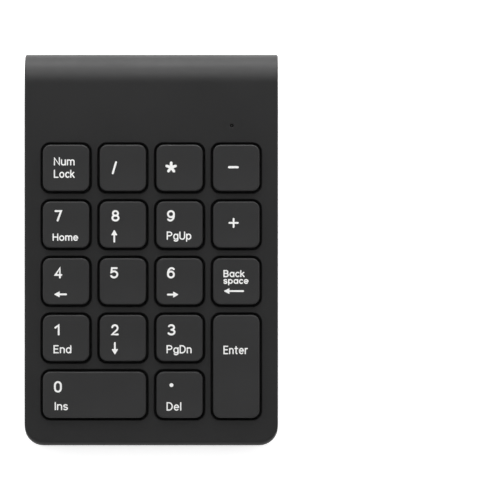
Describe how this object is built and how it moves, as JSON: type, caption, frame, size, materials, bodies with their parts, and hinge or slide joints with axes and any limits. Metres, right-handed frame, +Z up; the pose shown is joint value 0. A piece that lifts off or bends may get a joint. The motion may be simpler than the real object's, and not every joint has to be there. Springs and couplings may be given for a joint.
{
  "type": "numeric keypad",
  "caption": "Thin wireless number pad on rubber feet: flat key deck that thickens into a round battery barrel along its rear edge, with rounded square keys and a tiny indicator.",
  "frame": {"origin": "on the desk under the middle of the keypad's bounding box", "axes": "+X towards the user's right, +Y from the front edge towards the battery barrel, +Z up from the desk; the key deck is tilted 5.6 degrees up towards the barrel"},
  "size_m": [0.085, 0.1316, 0.0221],
  "materials": {
    "top_case": "fine matt moulded texture",
    "bottom_case": "fine matt moulded texture",
    "battery_door": "fine matt moulded texture",
    "keycap": "matt moulded, printed legends",
    "guide": "plain moulded",
    "silicone": "translucent silicone",
    "film": "clear polyester film",
    "steel": "bare steel sheet",
    "wire_steel": "drawn spring wire",
    "screw_steel": "black zinc",
    "board": "green solder mask",
    "chip": "moulded package",
    "can": "plated can",
    "led": "clear package",
    "lens": "smoked clear",
    "inner_plastic": "plain moulded",
    "knob": "matt moulded",
    "rubber": "matt rubber",
    "cell": "printed steel can",
    "contact": "nickel plated",
    "wire_black": "insulated wire",
    "wire_red": "insulated wire"
  },
  "bodies": {
    "housing": {"top_case": "top_case", "bottom_case": "bottom_case", "key_guide_plate": "guide", "dome_mat": "silicone", "membrane_top": "film", "membrane_spacer": "film", "membrane_bottom": "film", "backing_plate": "steel", "controller_board": "board", "controller_chip": "chip", "crystal": "can", "status_led": "led", "indicator_lens": "lens", "membrane_clamp_bar": "inner_plastic", "clamp_screw_left": "screw_steel", "clamp_screw_right": "screw_steel", "case_screw_front_left": "screw_steel", "case_screw_front_right": "screw_steel", "case_screw_rear_left": "screw_steel", "case_screw_rear_right": "screw_steel", "slide_switch_body": "can", "battery_cell": "cell", "battery_spring_contact": "contact", "battery_plate_contact": "contact", "battery_wire_black": "wire_black", "battery_wire_red": "wire_red", "front_foot_left": "rubber", "front_foot_right": "rubber", "rear_foot_left": "rubber", "rear_foot_right": "rubber"},
    "key_1": {"key_1": "keycap"},
    "key_2": {"key_2": "keycap"},
    "key_3": {"key_3": "keycap"},
    "key_4": {"key_4": "keycap"},
    "key_5": {"key_5": "keycap"},
    "key_6": {"key_6": "keycap"},
    "key_backspace": {"key_backspace": "keycap"},
    "key_7": {"key_7": "keycap"},
    "key_8": {"key_8": "keycap"},
    "key_9": {"key_9": "keycap"},
    "key_plus": {"key_plus": "keycap"},
    "key_num_lock": {"key_num_lock": "keycap"},
    "key_divide": {"key_divide": "keycap"},
    "key_multiply": {"key_multiply": "keycap"},
    "key_minus": {"key_minus": "keycap"},
    "key_0": {"key_0": "keycap"},
    "key_decimal": {"key_decimal": "keycap"},
    "key_enter": {"key_enter": "keycap"},
    "stabilizer_wire_0": {"stabilizer_wire_0": "wire_steel"},
    "stabilizer_wire_enter": {"stabilizer_wire_enter": "wire_steel"},
    "power_switch_knob": {"power_switch_knob": "knob"},
    "battery_door": {"battery_door": "battery_door"}
  },
  "joints": [
    {"name": "key_1_press", "type": "slide", "parent": "housing", "child": "key_1", "axis": [0, 0.0976, -0.9952], "range_m": [0, 0.002], "stiffness_N_per_m": 250, "springref_m": -0.001, "deforming": ["dome_mat"]},
    {"name": "key_2_press", "type": "slide", "parent": "housing", "child": "key_2", "axis": [0, 0.0976, -0.9952], "range_m": [0, 0.002], "stiffness_N_per_m": 250, "springref_m": -0.001, "deforming": ["dome_mat"]},
    {"name": "key_3_press", "type": "slide", "parent": "housing", "child": "key_3", "axis": [0, 0.0976, -0.9952], "range_m": [0, 0.002], "stiffness_N_per_m": 250, "springref_m": -0.001, "deforming": ["dome_mat"]},
    {"name": "key_4_press", "type": "slide", "parent": "housing", "child": "key_4", "axis": [0, 0.0976, -0.9952], "range_m": [0, 0.002], "stiffness_N_per_m": 250, "springref_m": -0.001, "deforming": ["dome_mat"]},
    {"name": "key_5_press", "type": "slide", "parent": "housing", "child": "key_5", "axis": [0, 0.0976, -0.9952], "range_m": [0, 0.002], "stiffness_N_per_m": 250, "springref_m": -0.001, "deforming": ["dome_mat"]},
    {"name": "key_6_press", "type": "slide", "parent": "housing", "child": "key_6", "axis": [0, 0.0976, -0.9952], "range_m": [0, 0.002], "stiffness_N_per_m": 250, "springref_m": -0.001, "deforming": ["dome_mat"]},
    {"name": "key_backspace_press", "type": "slide", "parent": "housing", "child": "key_backspace", "axis": [0, 0.0976, -0.9952], "range_m": [0, 0.002], "stiffness_N_per_m": 250, "springref_m": -0.001, "deforming": ["dome_mat"]},
    {"name": "key_7_press", "type": "slide", "parent": "housing", "child": "key_7", "axis": [0, 0.0976, -0.9952], "range_m": [0, 0.002], "stiffness_N_per_m": 250, "springref_m": -0.001, "deforming": ["dome_mat"]},
    {"name": "key_8_press", "type": "slide", "parent": "housing", "child": "key_8", "axis": [0, 0.0976, -0.9952], "range_m": [0, 0.002], "stiffness_N_per_m": 250, "springref_m": -0.001, "deforming": ["dome_mat"]},
    {"name": "key_9_press", "type": "slide", "parent": "housing", "child": "key_9", "axis": [0, 0.0976, -0.9952], "range_m": [0, 0.002], "stiffness_N_per_m": 250, "springref_m": -0.001, "deforming": ["dome_mat"]},
    {"name": "key_plus_press", "type": "slide", "parent": "housing", "child": "key_plus", "axis": [0, 0.0976, -0.9952], "range_m": [0, 0.002], "stiffness_N_per_m": 250, "springref_m": -0.001, "deforming": ["dome_mat"]},
    {"name": "key_num_lock_press", "type": "slide", "parent": "housing", "child": "key_num_lock", "axis": [0, 0.0976, -0.9952], "range_m": [0, 0.002], "stiffness_N_per_m": 250, "springref_m": -0.001, "deforming": ["dome_mat"]},
    {"name": "key_divide_press", "type": "slide", "parent": "housing", "child": "key_divide", "axis": [0, 0.0976, -0.9952], "range_m": [0, 0.002], "stiffness_N_per_m": 250, "springref_m": -0.001, "deforming": ["dome_mat"]},
    {"name": "key_multiply_press", "type": "slide", "parent": "housing", "child": "key_multiply", "axis": [0, 0.0976, -0.9952], "range_m": [0, 0.002], "stiffness_N_per_m": 250, "springref_m": -0.001, "deforming": ["dome_mat"]},
    {"name": "key_minus_press", "type": "slide", "parent": "housing", "child": "key_minus", "axis": [0, 0.0976, -0.9952], "range_m": [0, 0.002], "stiffness_N_per_m": 250, "springref_m": -0.001, "deforming": ["dome_mat"]},
    {"name": "key_0_press", "type": "slide", "parent": "housing", "child": "key_0", "axis": [0, 0.0976, -0.9952], "range_m": [0, 0.002], "stiffness_N_per_m": 250, "springref_m": -0.001, "deforming": ["dome_mat"]},
    {"name": "key_decimal_press", "type": "slide", "parent": "housing", "child": "key_decimal", "axis": [0, 0.0976, -0.9952], "range_m": [0, 0.002], "stiffness_N_per_m": 250, "springref_m": -0.001, "deforming": ["dome_mat"]},
    {"name": "key_enter_press", "type": "slide", "parent": "housing", "child": "key_enter", "axis": [0, 0.0976, -0.9952], "range_m": [0, 0.002], "stiffness_N_per_m": 250, "springref_m": -0.001, "deforming": ["dome_mat"]},
    {"name": "stabilizer_0_tilt", "type": "hinge", "parent": "housing", "child": "stabilizer_wire_0", "pos_m": [-0.019, -0.05411, 0.0089], "axis": [-1, 0, 0], "range_deg": [0, 19.2]},
    {"name": "stabilizer_enter_tilt", "type": "hinge", "parent": "housing", "child": "stabilizer_wire_enter", "pos_m": [0.0338, -0.03938, 0.01035], "axis": [0, -0.9952, -0.0976], "range_deg": [0, 19.2]},
    {"name": "power_switch_slide", "type": "slide", "parent": "housing", "child": "power_switch_knob", "axis": [1, 0, 0], "range_m": [0, 0.0022]},
    {"name": "battery_door_hinge", "type": "hinge", "parent": "housing", "child": "battery_door", "pos_m": [-0.0265, 0.06084, 0.00229], "axis": [0, 0.8517, 0.524], "range_deg": [0, 70]}
  ],
  "couplings": [
    {"joint": "stabilizer_0_tilt", "follows": "key_0_press", "rad_per_m": 167.45},
    {"joint": "stabilizer_enter_tilt", "follows": "key_enter_press", "rad_per_m": 167.45}
  ]
}
